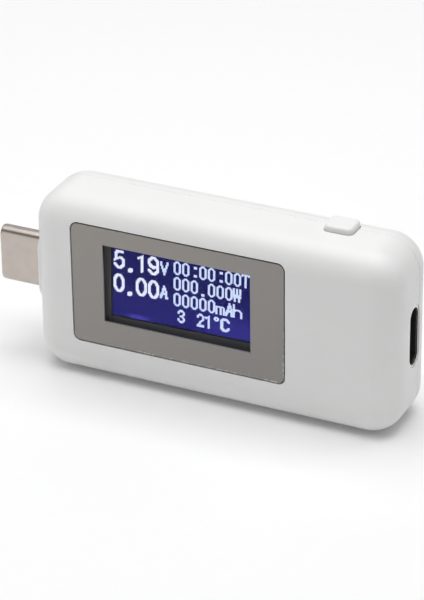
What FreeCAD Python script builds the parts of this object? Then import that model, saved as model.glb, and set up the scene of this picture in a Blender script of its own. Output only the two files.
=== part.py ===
"""In-line USB-C power meter: a case of two shells with a plug at one end, a port at the other,
a display behind a grey panel in the front and one push button on top.

Frame: +X runs from the plug to the port, the display faces -Y and +Z is up. The origin is at the
middle of the meter's length and depth, at the height of the face that it stands on.
Every piece is made about the middle of the case and then placed, in millimetres.
"""
import FreeCAD, Part
import math
import os
import re
import Sketcher

DIMENSIONS = (
    # case
    ("case_length", "53.2"), ("case_depth", "13.0"), ("case_height", "26.5"), ("wall", "1.4"),
    ("case_corner", "4.7"), ("front_round", "4.0"), ("rear_round", "4.5"), ("seam_y", "1.6"),
    ("seam_bevel", "0.1"),
    ("post_x", "21.0"), ("post_z", "8.9"), ("post_radius", "1.0"), ("post_root", "0.2"),
    ("tab_length", "5.0"), ("tab_thickness", "0.7"), ("tab_gap", "0.2"), ("tab_reach", "1.8"),
    ("tab_root", "2.4"), ("tab_x", "9.0"),
    # display panel and the window in it
    ("panel_x", "-4.6"), ("panel_z", "1.37"), ("panel_length", "31.4"), ("panel_height", "17.9"),
    ("panel_corner", "1.1"), ("panel_gap", "0.2"), ("panel_depth", "0.9"), ("panel_inset", "0.05"),
    ("window_x", "-4.7"), ("window_z", "1.96"), ("window_length", "21.6"), ("window_height", "11.5"),
    ("film_thickness", "0.25"), ("adhesive_thickness", "0.1"),
    ("opening_length", "25.0"), ("opening_height", "13.8"),
    # display module, from its gasket back to its holder
    ("glass_x", "-4.3"), ("glass_z", "1.55"), ("glass_length", "27.0"), ("glass_height", "15.4"),
    ("glass_thickness", "0.45"), ("glass_ledge", "3.0"), ("gasket_thickness", "0.35"),
    ("polariser_thickness", "0.15"), ("polariser_margin", "0.6"),
    ("backlight_thickness", "0.9"), ("led_length", "3.0"), ("led_depth", "0.6"), ("led_height", "1.0"),
    ("led_pitch", "8.0"),
    ("driver_length", "10.0"), ("driver_height", "1.2"), ("driver_thickness", "0.3"),
    ("flex_length", "9.0"), ("flex_thickness", "0.12"), ("flex_foot", "1.6"),
    ("holder_wall", "1.0"), ("holder_gap", "0.2"), ("holder_shelf", "0.5"), ("holder_step", "1.2"),
    # main board and what is soldered to it
    ("board_length", "46.0"), ("board_height", "21.2"), ("board_thickness", "0.8"),
    ("plug_notch", "2.3"), ("port_notch", "4.5"), ("notch_gap", "0.15"),
    # plug
    ("plug_reach", "7.6"), ("plug_width", "8.25"), ("plug_thickness", "2.4"), ("plug_wall", "0.4"),
    ("plug_length", "13.2"), ("plug_lip", "0.35"), ("plug_recess", "0.4"), ("plug_cavity", "5.6"),
    ("tongue_slot_width", "6.7"), ("tongue_slot_thickness", "1.0"),
    ("contact_pitch", "0.5"), ("contact_width", "0.25"), ("contact_thickness", "0.12"),
    ("contact_count", "12"), ("plug_contact_length", "4.6"),
    ("latch_thickness", "0.15"), ("latch_width", "0.5"), ("latch_length", "5.0"),
    ("collar_width", "10.4"), ("collar_thickness", "6.2"), ("collar_corner", "2.6"),
    ("collar_reach", "0.95"), ("collar_round", "0.7"), ("collar_flange", "0.8"),
    ("collar_flange_depth", "1.0"), ("collar_flange_thickness", "4.0"), ("fit_gap", "0.05"),
    # port
    ("port_y", "0.15"), ("port_width", "8.94"), ("port_thickness", "3.26"), ("port_wall", "0.3"),
    ("port_length", "7.3"), ("port_inset", "0.1"), ("port_slot_gap", "0.07"),
    ("tongue_width", "6.3"), ("tongue_thickness", "0.7"), ("tongue_length", "4.9"),
    ("port_block", "1.6"), ("port_contact_length", "3.6"), ("port_contact_thickness", "0.05"),
    # button and its switch
    ("button_x", "15.9"), ("button_y", "1.03"), ("button_length", "4.1"), ("button_depth", "3.55"),
    ("button_height", "0.85"), ("button_corner", "0.8"), ("button_edge", "0.42"),
    ("button_gap", "0.08"), ("button_travel", "0.25"),
    ("flange_length", "5.8"), ("flange_thickness", "0.6"), ("flange_drop", "0.2"),
    ("stem_length", "2.4"), ("stem_depth", "1.4"), ("stem_reach", "3.3"), ("stem_gap", "0.03"),
    ("switch_length", "4.0"), ("switch_depth", "1.5"), ("switch_height", "2.6"),
    ("plunger_length", "1.8"), ("plunger_depth", "0.8"), ("plunger_height", "1.75"),
    ("plunger_reach", "0.85"), ("plunger_gap", "0.1"),
    ("dome_thickness", "0.08"), ("dome_gap", "0.27"), ("switch_skin", "0.15"),
    ("switch_skin_height", "2.2"),
    ("terminal_length", "0.5"), ("terminal_depth", "0.6"), ("terminal_height", "0.8"),
    # leads and small parts on the back of the board
    ("lead_width", "0.3"), ("lead_reach", "0.8"), ("lead_thickness", "0.2"), ("lead_pitch", "0.8"),
    ("capacitor_length", "1.6"), ("capacitor_depth", "0.8"), ("capacitor_height", "0.8"),
    ("capacitor_x", "-16.0"), ("capacitor_z", "8.8"), ("capacitor_pitch", "3.0"),
    ("resistor_length", "1.0"), ("resistor_depth", "0.35"), ("resistor_height", "0.5"),
    ("resistor_x", "-12.0"), ("resistor_z", "-9.4"), ("resistor_pitch", "2.2"),
)
# Parts on the back of the board: length along X, depth along Y, height along Z, and their middle.
BOARD_PARTS = (
    ("controller_chip", "7.0", "0.9", "7.0", "-3.0", "1.0"),
    ("amplifier_chip", "3.0", "0.9", "3.0", "7.5", "5.0"),
    ("voltage_regulator", "2.9", "1.1", "1.6", "-12.5", "4.0"),
    ("shunt_resistor", "6.3", "0.6", "3.2", "11.0", "-3.0"),
    ("crystal", "3.2", "0.8", "2.5", "-12.5", "-1.5"),
    ("thermistor", "1.6", "0.8", "0.8", "11.0", "-6.5"),
    ("bulk_capacitor", "3.5", "1.9", "2.8", "-12.5", "-6.0"),
)
CAPACITOR_COUNT = 7
RESISTOR_COUNT = 9

doc = FreeCAD.newDocument("usb_power_meter")
sheet = doc.addObject("Spreadsheet::Sheet", "Sizes")
part_dimensions = [("%s_%s" % (label, name), value) for label, *values in BOARD_PARTS
                   for name, value in zip(("length", "depth", "height", "x", "z"), values)]
for row, (alias, value) in enumerate(list(DIMENSIONS) + part_dimensions, start=1):
    sheet.set("A%d" % row, alias)
    sheet.set("B%d" % row, value)
    sheet.setAlias("B%d" % row, alias)
doc.recompute()

pieces = []
TOUCH = 1e-3

# Places that several pieces share, as formulas of the sheet's names.
CASE_X = "plug_reach / 2"
CASE_Z = "case_height / 2"
FRONT = "-case_depth / 2"
PANEL_FLOOR = FRONT + " + panel_depth"
FILM_FRONT = FRONT + " + panel_inset"
LENS_FRONT = FILM_FRONT + " + film_thickness"
LENS_THICKNESS = "panel_depth - panel_inset - film_thickness - adhesive_thickness"
GASKET_FRONT = FRONT + " + wall"
POLARISER_FRONT = GASKET_FRONT + " + gasket_thickness"
GLASS_FRONT = POLARISER_FRONT + " + polariser_thickness"
REAR_GLASS_FRONT = GLASS_FRONT + " + glass_thickness"
REAR_POLARISER_FRONT = REAR_GLASS_FRONT + " + glass_thickness"
BACKLIGHT_FRONT = REAR_POLARISER_FRONT + " + polariser_thickness"
SHELF_FRONT = BACKLIGHT_FRONT + " + backlight_thickness"
BOARD_FRONT = "-board_thickness / 2"
BOARD_REAR = "board_thickness / 2"
GLASS_LOW = "glass_z - glass_height / 2"
GLASS_FOOT = GLASS_LOW + " - glass_ledge"
GLASS_MIDDLE = "glass_z - glass_ledge / 2"
PLUG_TIP = "-case_length / 2 - plug_reach"
PORT_MOUTH = "case_length / 2 - port_inset"
SWITCH_TOP = ("case_height / 2 - wall - flange_drop - flange_thickness - stem_reach - stem_gap"
              " - plunger_reach")
SWITCH_Y = BOARD_REAR + " + switch_depth / 2"
WELL = "(plunger_height - plunger_reach + button_travel + dome_gap + dome_thickness)"


def size(alias):
    """One driving dimension, as a number."""
    return float(sheet.get(alias))


def bind(thing, prop, formula):
    """Tie a property to a formula written with the sheet's names."""
    thing.setExpression(prop, re.sub(r"[a-z]\w*", r"Sizes.\g<0>", formula))


def place(thing, x, y, z):
    """Put a piece at a point given from the middle of the case."""
    bind(thing, "Placement.Base.x", "%s + %s" % (CASE_X, x))
    bind(thing, "Placement.Base.y", y)
    bind(thing, "Placement.Base.z", "%s + %s" % (CASE_Z, z))


def keep(thing, label):
    """Name a finished piece and add it to the list that is written out."""
    thing.Label = label
    pieces.append(thing)
    return thing


def new_body(label, x="0", y="0", z="0"):
    body = doc.addObject("PartDesign::Body", label)
    place(body, x, y, z)
    return keep(body, label)


def new_sketch(body, role, name, x="0", y="0", z="0"):
    """A sketch on one of the body's own planes, shifted within it (x, y) and off it (z)."""
    sketch = body.newObject("Sketcher::SketchObject", "%s_%s" % (body.Name, name))
    plane = [feature for feature in body.Origin.OriginFeatures if feature.Role == role][0]
    sketch.AttachmentSupport = [(plane, "")]
    sketch.MapMode = "FlatFace"
    bind(sketch, "AttachmentOffset.Base.x", x)
    bind(sketch, "AttachmentOffset.Base.y", y)
    bind(sketch, "AttachmentOffset.Base.z", z)
    return sketch


def constrain(sketch, name, formula, *terms):
    """A driving constraint with a name, tied to the sheet."""
    sketch.addConstraint(Sketcher.Constraint(*terms))
    sketch.renameConstraint(sketch.ConstraintCount - 1, name)
    bind(sketch, "Constraints." + name, formula)


def rectangle(sketch, width, height, name="side"):
    """A rectangle centred on the sketch's origin."""
    first = sketch.GeometryCount
    half_width, half_height = 4.0, 3.0
    corners = [FreeCAD.Vector(-half_width, -half_height), FreeCAD.Vector(half_width, -half_height),
               FreeCAD.Vector(half_width, half_height), FreeCAD.Vector(-half_width, half_height)]
    for start, end in zip(corners, corners[1:] + corners[:1]):
        sketch.addGeometry(Part.LineSegment(start, end))
    bottom, right, top, left = range(first, first + 4)
    for line, after in ((bottom, right), (right, top), (top, left), (left, bottom)):
        sketch.addConstraint(Sketcher.Constraint("Coincident", line, 2, after, 1))
    for line in (bottom, top):
        sketch.addConstraint(Sketcher.Constraint("Horizontal", line))
    for line in (right, left):
        sketch.addConstraint(Sketcher.Constraint("Vertical", line))
    sketch.addConstraint(Sketcher.Constraint("Symmetric", bottom, 1, top, 1, -1, 1))
    constrain(sketch, name + "_width", width, "DistanceX", bottom, 1, bottom, 2, 2 * half_width)
    constrain(sketch, name + "_height", height, "DistanceY", right, 1, right, 2, 2 * half_height)


def rounded_rectangle(sketch, width, height, corner, grow="0 * wall", offset=0.0):
    """A rectangle with round corners, centred on the sketch's origin and grown all round."""
    across = size(width) + 2 * offset
    along = size(height) + 2 * offset
    radius = size(corner) + offset
    half_x = across / 2 - radius
    half_y = along / 2 - radius
    up = FreeCAD.Vector(0, 0, 1)
    centres = [FreeCAD.Vector(half_x, half_y), FreeCAD.Vector(-half_x, half_y),
               FreeCAD.Vector(-half_x, -half_y), FreeCAD.Vector(half_x, -half_y)]
    first = sketch.GeometryCount
    arcs = list(range(first, first + 4))
    lines = list(range(first + 4, first + 8))
    turn = math.pi / 2
    for quarter, centre in enumerate(centres):
        bend = Part.Circle(centre, up, radius)
        sketch.addGeometry(Part.ArcOfCircle(bend, quarter * turn, (quarter + 1) * turn))
    for quarter, centre in enumerate(centres):
        outward = FreeCAD.Vector(math.cos((quarter + 1) * turn), math.sin((quarter + 1) * turn)) * radius
        after = centres[(quarter + 1) % 4]
        sketch.addGeometry(Part.LineSegment(centre + outward, after + outward))
    for quarter in range(4):
        sketch.addConstraint(Sketcher.Constraint("Tangent", arcs[quarter], 2, lines[quarter], 1))
        sketch.addConstraint(Sketcher.Constraint("Tangent", lines[quarter], 2, arcs[(quarter + 1) % 4], 1))
    for quarter, direction in enumerate(("Horizontal", "Vertical", "Horizontal", "Vertical")):
        sketch.addConstraint(Sketcher.Constraint(direction, lines[quarter]))
    for arc in arcs[1:]:
        sketch.addConstraint(Sketcher.Constraint("Equal", arcs[0], arc))
    sketch.addConstraint(Sketcher.Constraint("Symmetric", arcs[0], 3, arcs[2], 3, -1, 1))
    constrain(sketch, "corner_radius", "%s + %s" % (corner, grow), "Radius", arcs[0], radius)
    constrain(sketch, "inner_width", "%s - 2 * %s" % (width, corner),
              "DistanceX", arcs[1], 3, arcs[0], 3, 2 * half_x)
    constrain(sketch, "inner_height", "%s - 2 * %s" % (height, corner),
              "DistanceY", arcs[3], 3, arcs[0], 3, 2 * half_y)


def stadium(sketch, thickness, width, grow="0 * wall", offset=0.0, name="outer"):
    """A long outline with half-round ends, long way up, centred on the sketch's origin."""
    first = sketch.GeometryCount
    radius = size(thickness) / 2 + offset
    half_run = (size(width) - size(thickness)) / 2
    head_arc, left, foot_arc, right = range(first, first + 4)
    up = FreeCAD.Vector(0, 0, 1)
    head = Part.Circle(FreeCAD.Vector(0, half_run), up, radius)
    foot = Part.Circle(FreeCAD.Vector(0, -half_run), up, radius)
    side = FreeCAD.Vector(radius, half_run)
    mirrored = FreeCAD.Vector(radius, -half_run)
    sketch.addGeometry(Part.ArcOfCircle(head, 0.0, math.pi))
    sketch.addGeometry(Part.LineSegment(-mirrored, -side))
    sketch.addGeometry(Part.ArcOfCircle(foot, math.pi, 2 * math.pi))
    sketch.addGeometry(Part.LineSegment(mirrored, side))
    for before, after in ((head_arc, left), (left, foot_arc), (foot_arc, right), (right, head_arc)):
        sketch.addConstraint(Sketcher.Constraint("Tangent", before, 2, after, 1))
    sketch.addConstraint(Sketcher.Constraint("Vertical", left))
    sketch.addConstraint(Sketcher.Constraint("Symmetric", head_arc, 3, foot_arc, 3, -1, 1))
    constrain(sketch, name + "_radius", "%s / 2 + %s" % (thickness, grow), "Radius", head_arc, radius)
    constrain(sketch, name + "_run", "%s - %s" % (width, thickness),
              "DistanceY", foot_arc, 3, head_arc, 3, 2 * half_run)


def circle(sketch, radius, name="rim"):
    sketch.addGeometry(Part.Circle(FreeCAD.Vector(0, 0), FreeCAD.Vector(0, 0, 1), 1.0))
    rim = sketch.GeometryCount - 1
    sketch.addConstraint(Sketcher.Constraint("Coincident", rim, 3, -1, 1))
    constrain(sketch, name + "_radius", radius, "Radius", rim, 1.0)


def extrude(body, kind, sketch, length, backward=False):
    """Pad or Pocket a sketch, and stop if it didn't add or take away anything."""
    before = body.Shape.Volume if body.Tip else 0.0
    feature = body.newObject("PartDesign::" + kind, sketch.Name + "_" + kind.lower())
    feature.Profile = sketch
    bind(feature, "Length", length)
    feature.Reversed = backward
    doc.recompute()
    change = feature.Shape.Volume - before
    if (change <= 0) if kind == "Pad" else (change >= 0):
        raise RuntimeError("%s changes the volume by %.3f" % (feature.Name, change))
    return feature


def dress(body, kind, name, edges, prop, formula):
    """A fillet or chamfer on the edges that a test picks out."""
    base = body.Tip
    names = ["Edge%d" % number for number, edge in enumerate(base.Shape.Edges, start=1)
             if edges(edge)]
    feature = body.newObject("PartDesign::" + kind, "%s_%s" % (body.Name, name))
    feature.Base = (base, names)
    bind(feature, prop, formula)
    doc.recompute()
    return feature


def runs_along(axis):
    """A test for straight edges along X (0), Y (1) or Z (2)."""
    def test(edge):
        if edge.Curve.TypeId != "Part::GeomLine":
            return False
        return abs(abs(edge.Curve.Direction[axis]) - 1) < TOUCH
    return test


def lies_at(axis, level):
    """A test for edges that lie in the plane where the axis has the given value."""
    def test(edge):
        box = edge.BoundBox
        low = (box.XMin, box.YMin, box.ZMin)[axis]
        high = (box.XMax, box.YMax, box.ZMax)[axis]
        return abs(low - level) < TOUCH and abs(high - level) < TOUCH
    return test


def block(label, length, depth, height, x, y, z, kept=True):
    """A plain block: x and z are its middle, y is its front face."""
    box = doc.addObject("Part::Box", label)
    bind(box, "Length", length)
    bind(box, "Width", depth)
    bind(box, "Height", height)
    place(box, "%s - (%s) / 2" % (x, length), y, "%s - (%s) / 2" % (z, height))
    if kept:
        keep(box, label)
    return box


def group(label, members):
    """Several like solids that share one node."""
    compound = doc.addObject("Part::Compound", label)
    compound.Links = members
    return keep(compound, label)


def fused(label, members):
    """Solids that are one piece."""
    fusion = doc.addObject("Part::MultiFuse", label)
    fusion.Shapes = members
    fusion.Refine = True
    return keep(fusion, label)


def flat_piece(label, length, height, depth, x, y, z, hole=None):
    """A flat piece of the display stack, cut out in the middle where it has a hole."""
    body = new_body(label, x, y, z)
    outline = new_sketch(body, "XZ_Plane", "outline")
    rectangle(outline, length, height)
    extrude(body, "Pad", outline, depth, backward=True)
    if hole:
        hole_length, hole_height, hole_x, hole_z = hole
        window = new_sketch(body, "XZ_Plane", "hole", "%s - (%s)" % (hole_x, x), "%s - (%s)" % (hole_z, z))
        rectangle(window, hole_length, hole_height)
        extrude(body, "Pocket", window, depth)
    return body


def case_shell(body, front):
    """One half of the rounded case, hollowed from the seam."""
    outline = new_sketch(body, "XZ_Plane", "outline", z="-case_depth / 2")
    rectangle(outline, "case_length", "case_height")
    extrude(body, "Pad", outline, "case_depth")
    dress(body, "Fillet", "corners", runs_along(1), "Radius", "case_corner")
    dress(body, "Fillet", "front_edge", lies_at(1, -size("case_depth") / 2), "Radius", "front_round")
    dress(body, "Fillet", "rear_edge", lies_at(1, size("case_depth") / 2), "Radius", "rear_round")
    half = new_sketch(body, "XZ_Plane", "half", z="-seam_y")
    rectangle(half, "case_length + wall", "case_height + wall")
    extrude(body, "Pocket", half, "case_depth", backward=not front)
    solid = body.Tip
    seam = size("seam_y")
    open_faces = ["Face%d" % number for number, face in enumerate(solid.Shape.Faces, start=1)
                  if abs(face.BoundBox.YMin - seam) < TOUCH and abs(face.BoundBox.YMax - seam) < TOUCH]
    hollow = body.newObject("PartDesign::Thickness", body.Name + "_hollow")
    hollow.Base = (solid, open_faces)
    bind(hollow, "Value", "wall")
    hollow.Reversed = True
    doc.recompute()
    rims = [face for face in hollow.Shape.Faces
            if abs(face.BoundBox.YMin - seam) < TOUCH and abs(face.BoundBox.YMax - seam) < TOUCH]
    rim = max(rims, key=lambda face: face.BoundBox.DiagonalLength)
    outer = rim.OuterWire.Edges
    dress(body, "Chamfer", "seam_edge", lambda edge: any(edge.isSame(other) for other in outer),
          "Size", "seam_bevel")


def side_openings(body):
    """What both halves leave open together: the button's slot, the collar's notch and the port's hole."""
    slot = new_sketch(body, "XY_Plane", "button_slot", "button_x", "button_y", "case_height / 2")
    rounded_rectangle(slot, "button_length", "button_depth", "button_corner", "button_gap",
                      size("button_gap"))
    extrude(body, "Pocket", slot, "2 * wall")
    notch = new_sketch(body, "YZ_Plane", "collar_notch", z="-case_length / 2")
    rounded_rectangle(notch, "collar_thickness", "collar_width", "collar_corner", "fit_gap",
                      size("fit_gap"))
    extrude(body, "Pocket", notch, "2 * wall", backward=True)
    hole = new_sketch(body, "YZ_Plane", "port_hole", "port_y", z="case_length / 2")
    stadium(hole, "port_thickness", "port_width", "port_slot_gap", size("port_slot_gap"))
    extrude(body, "Pocket", hole, "2 * wall")


def posts(body, front):
    """Four posts that hold the main board between the two halves."""
    for side in (-1, 1):
        for level in (-1, 1):
            face = BOARD_REAR if front else BOARD_FRONT
            name = "post_%s_%s" % ("left" if side < 0 else "right", "low" if level < 0 else "high")
            rim = new_sketch(body, "XZ_Plane", name, "%d * post_x" % side, "%d * post_z" % level, face)
            circle(rim, "post_radius")
            extrude(body, "Pad", rim, "case_depth / 2 - wall + post_root - board_thickness / 2",
                    backward=not front)


def front_cover():
    """The deep half, with the stepped window opening in its front."""
    body = new_body("front_cover")
    case_shell(body, front=True)
    side_openings(body)
    recess = new_sketch(body, "XZ_Plane", "recess", "panel_x", "panel_z", "case_depth / 2")
    rounded_rectangle(recess, "panel_length", "panel_height", "panel_corner")
    extrude(body, "Pocket", recess, "panel_depth")
    opening = new_sketch(body, "XZ_Plane", "opening", "glass_x", "glass_z", "case_depth / 2")
    rectangle(opening, "opening_length", "opening_height")
    extrude(body, "Pocket", opening, "2 * wall")
    posts(body, front=True)


def rear_cover():
    """The shallow half, with four tabs that grip inside the deep one."""
    body = new_body("rear_cover")
    case_shell(body, front=False)
    side_openings(body)
    posts(body, front=False)
    for side in (-1, 1):
        for level in (-1, 1):
            name = "tab_%s_%s" % ("left" if side < 0 else "right", "low" if level < 0 else "high")
            middle = "%d * (case_height / 2 - wall - tab_gap - tab_thickness / 2)" % level
            tab = new_sketch(body, "XZ_Plane", name, "%d * tab_x" % side, middle, "-seam_y - tab_root")
            rectangle(tab, "tab_length", "tab_thickness")
            extrude(body, "Pad", tab, "tab_reach + tab_root")


def display_panel():
    """The grey film with the window cut in it, the clear lens behind it and its adhesive."""
    for label, length, corner, depth, front, hole in (
            ("display_film", "panel_length - 2 * panel_gap", True, "film_thickness", FILM_FRONT,
             ("window_length", "window_height", "window_x", "window_z")),
            ("display_lens", "panel_length - 2 * panel_gap", True, LENS_THICKNESS, LENS_FRONT, None),
            ("lens_adhesive", "panel_length - 2 * panel_gap", True, "adhesive_thickness",
             PANEL_FLOOR + " - adhesive_thickness",
             ("opening_length", "opening_height", "glass_x", "glass_z"))):
        body = flat_piece(label, length, "panel_height - 2 * panel_gap", depth, "panel_x", front,
                          "panel_z", hole)
        half = size("panel_length") / 2 - size("panel_gap")
        dress(body, "Fillet", "corners",
              lambda edge: runs_along(1)(edge) and abs(abs(edge.CenterOfMass.x) - half) < TOUCH,
              "Radius", "panel_corner - panel_gap")


def display_module():
    """Gasket, polarisers, the two glasses with the driver chip on their ledge, and the backlight."""
    flat_piece("display_gasket", "glass_length", "glass_height", "gasket_thickness", "glass_x",
               GASKET_FRONT, "glass_z", ("opening_length", "opening_height", "glass_x", "glass_z"))
    for label, front in (("lcd_front_polariser", POLARISER_FRONT),
                         ("lcd_rear_polariser", REAR_POLARISER_FRONT)):
        flat_piece(label, "glass_length - 2 * polariser_margin", "glass_height - 2 * polariser_margin",
                   "polariser_thickness", "glass_x", front, "glass_z")
    flat_piece("lcd_front_glass", "glass_length", "glass_height", "glass_thickness", "glass_x",
               GLASS_FRONT, "glass_z")
    flat_piece("lcd_rear_glass", "glass_length", "glass_height + glass_ledge", "glass_thickness",
               "glass_x", REAR_GLASS_FRONT, GLASS_MIDDLE)
    block("lcd_driver_chip", "driver_length", "driver_thickness", "driver_height", "glass_x",
          REAR_GLASS_FRONT + " - driver_thickness", GLASS_LOW + " - glass_ledge / 2")
    flat_piece("backlight_panel", "glass_length", "glass_height", "backlight_thickness", "glass_x",
               BACKLIGHT_FRONT, "glass_z")
    leds = [block("backlight_led_%d" % number, "led_length", "led_depth", "led_height",
                  "glass_x + %d * led_pitch" % number, BACKLIGHT_FRONT, GLASS_LOW + " - led_height / 2",
                  kept=False) for number in (-1, 0, 1)]
    group("backlight_leds", leds)


def lcd_flex():
    """The ribbon that folds from the glass ledge under the module to the main board."""
    foot = GLASS_FOOT + " - flex_thickness"
    grip = block("flex_grip", "flex_length", "flex_thickness", "flex_foot / 2", "glass_x",
                 REAR_GLASS_FRONT + " - flex_thickness", foot + " + flex_foot / 4", kept=False)
    run = block("flex_run", "flex_length", "%s - (%s) + flex_thickness" % (BOARD_FRONT, REAR_GLASS_FRONT),
                "flex_thickness", "glass_x", REAR_GLASS_FRONT + " - flex_thickness",
                foot + " + flex_thickness / 2", kept=False)
    landing = block("flex_landing", "flex_length", "flex_thickness", "flex_foot", "glass_x",
                    BOARD_FRONT + " - flex_thickness", foot + " + flex_foot / 2", kept=False)
    fused("lcd_flex", [grip, run, landing])


def display_holder():
    """The frame round the module: a shelf carries the backlight, and its walls stand on the board."""
    body = new_body("display_holder", "glass_x", GLASS_FRONT, GLASS_MIDDLE)
    depth = "%s - (%s)" % (BOARD_FRONT, GLASS_FRONT)
    well = "%s - (%s)" % (SHELF_FRONT, GLASS_FRONT)
    inner_length = "glass_length + 2 * holder_gap"
    inner_height = "glass_height + glass_ledge + 2 * holder_gap"
    outline = new_sketch(body, "XZ_Plane", "outline")
    rectangle(outline, inner_length + " + 2 * holder_wall", inner_height + " + 2 * holder_wall")
    extrude(body, "Pad", outline, depth, backward=True)
    front = new_sketch(body, "XZ_Plane", "front_well")
    rectangle(front, inner_length, inner_height)
    extrude(body, "Pocket", front, well)
    through = new_sketch(body, "XZ_Plane", "middle")
    rectangle(through, inner_length + " - 2 * holder_step", inner_height + " - 2 * holder_step")
    extrude(body, "Pocket", through, depth)
    back = new_sketch(body, "XZ_Plane", "back_well", z="-(%s) - holder_shelf" % well)
    rectangle(back, inner_length, inner_height)
    extrude(body, "Pocket", back, depth)
    slot = new_sketch(body, "XZ_Plane", "flex_slot", y="-(%s) / 2 + holder_step / 2" % inner_height)
    rectangle(slot, "flex_length + holder_step", "holder_step")
    extrude(body, "Pocket", slot, depth)


def main_board():
    """The board, with a notch at each end that the plug and the port sit in."""
    body = new_body("main_board", y=BOARD_FRONT)
    outline = new_sketch(body, "XZ_Plane", "outline")
    rectangle(outline, "board_length", "board_height")
    extrude(body, "Pad", outline, "board_thickness", backward=True)
    for name, end, depth, width in (("plug_notch", "-board_length / 2", "plug_notch", "plug_width"),
                                    ("port_notch", "board_length / 2", "port_notch", "port_width")):
        notch = new_sketch(body, "XZ_Plane", name, end)
        rectangle(notch, "2 * " + depth, width + " + 2 * notch_gap")
        extrude(body, "Pocket", notch, "board_thickness")


def contact_rows(label, x, length, thickness, inner_face, y="0"):
    """Two facing rows of contacts, one on each side of a tongue or of its slot."""
    members = []
    for row in (-1, 1):
        for number in range(round(size("contact_count"))):
            step = "(%d - (contact_count - 1) / 2) * contact_pitch" % number
            front = "%s + %d * (%s) - (%s) / 2" % (y, row, inner_face, thickness)
            members.append(block("%s_%d_%d" % (label, row + 1, number), length, thickness,
                                 "contact_width", x, front, step, kept=False))
    group(label, members)


def plug():
    """The plug: a drawn shell, the insulator with the slot for the port's tongue, contacts and latches."""
    shell = new_body("usb_plug_shell", PLUG_TIP)
    section = new_sketch(shell, "YZ_Plane", "section")
    stadium(section, "plug_thickness", "plug_width")
    stadium(section, "plug_thickness", "plug_width", "(-plug_wall)", -size("plug_wall"), "inner")
    extrude(shell, "Pad", section, "plug_length")
    half = size("plug_thickness") / 2
    dress(shell, "Fillet", "lip", lambda edge: lies_at(0, 0)(edge)
          and abs(max(edge.BoundBox.YMax, -edge.BoundBox.YMin) - half) < TOUCH, "Radius", "plug_lip")
    insulator = new_body("usb_plug_insulator", PLUG_TIP + " + plug_recess")
    section = new_sketch(insulator, "YZ_Plane", "section")
    stadium(section, "plug_thickness", "plug_width", "(-plug_wall - fit_gap)",
            -size("plug_wall") - size("fit_gap"))
    extrude(insulator, "Pad", section, "plug_length - plug_recess")
    slot = new_sketch(insulator, "YZ_Plane", "tongue_slot")
    rectangle(slot, "tongue_slot_thickness", "tongue_slot_width")
    extrude(insulator, "Pocket", slot, "plug_cavity", backward=True)
    floor = PLUG_TIP + " + plug_recess + plug_cavity"
    contact_rows("usb_plug_contacts", floor + " - plug_contact_length / 2", "plug_contact_length",
                 "contact_thickness", "tongue_slot_thickness / 2 - contact_thickness / 2")
    latches = [block("latch_%d" % (side + 1), "latch_length", "latch_width", "latch_thickness",
                     floor + " - latch_length / 2", "-latch_width / 2",
                     "%d * (tongue_slot_width / 2 - latch_thickness / 2)" % side, kept=False)
               for side in (-1, 1)]
    group("usb_plug_latches", latches)


def plug_collar():
    """The raised collar round the plug, held in the end wall by a flange inside it."""
    body = new_body("plug_collar", "-case_length / 2 - collar_reach")
    outline = new_sketch(body, "YZ_Plane", "outline")
    rounded_rectangle(outline, "collar_thickness", "collar_width", "collar_corner")
    extrude(body, "Pad", outline, "collar_reach + wall")
    dress(body, "Fillet", "edge", lies_at(0, 0), "Radius", "collar_round")
    flange = new_sketch(body, "YZ_Plane", "flange", z="collar_reach + wall")
    rectangle(flange, "collar_flange_thickness", "collar_width + 2 * collar_flange")
    extrude(body, "Pad", flange, "collar_flange_depth")
    hole = new_sketch(body, "YZ_Plane", "plug_hole")
    stadium(hole, "plug_thickness", "plug_width", "fit_gap", size("fit_gap"))
    extrude(body, "Pocket", hole, "collar_reach + wall + collar_flange_depth", backward=True)


def port():
    """The port: its metal shell, the insulator with the tongue, and the contacts on the tongue."""
    back = PORT_MOUTH + " - port_length"
    shell = new_body("usb_port_shell", back, "port_y")
    section = new_sketch(shell, "YZ_Plane", "section")
    stadium(section, "port_thickness", "port_width")
    stadium(section, "port_thickness", "port_width", "(-port_wall)", -size("port_wall"), "inner")
    extrude(shell, "Pad", section, "port_length")
    insulator = new_body("usb_port_insulator", back, "port_y")
    section = new_sketch(insulator, "YZ_Plane", "section")
    stadium(section, "port_thickness", "port_width", "(-port_wall - fit_gap)",
            -size("port_wall") - size("fit_gap"))
    extrude(insulator, "Pad", section, "port_block")
    tongue = new_sketch(insulator, "YZ_Plane", "tongue", z="port_block")
    rectangle(tongue, "tongue_thickness", "tongue_width")
    extrude(insulator, "Pad", tongue, "tongue_length")
    contact_rows("usb_port_contacts", back + " + port_block + port_contact_length / 2",
                 "port_contact_length", "port_contact_thickness",
                 "tongue_thickness / 2 + port_contact_thickness / 2", "port_y")


def button_cap():
    """The button: a cap through the top, a flange that keeps it in, and a stem down to the switch."""
    body = new_body("button_cap", "button_x", "button_y", "case_height / 2")
    cap = new_sketch(body, "XY_Plane", "cap", z="button_height")
    rounded_rectangle(cap, "button_length", "button_depth", "button_corner")
    extrude(body, "Pad", cap, "button_height + wall + flange_drop", backward=True)
    dress(body, "Fillet", "top_edge", lies_at(2, size("button_height")), "Radius", "button_edge")
    flange = new_sketch(body, "XY_Plane", "flange", z="-wall - flange_drop")
    rectangle(flange, "flange_length", "button_depth")
    extrude(body, "Pad", flange, "flange_thickness", backward=True)
    stem = new_sketch(body, "XY_Plane", "stem", y="%s - button_y" % SWITCH_Y,
                      z="-wall - flange_drop - flange_thickness")
    rectangle(stem, "stem_length", "stem_depth")
    extrude(body, "Pad", stem, "stem_reach", backward=True)


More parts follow.
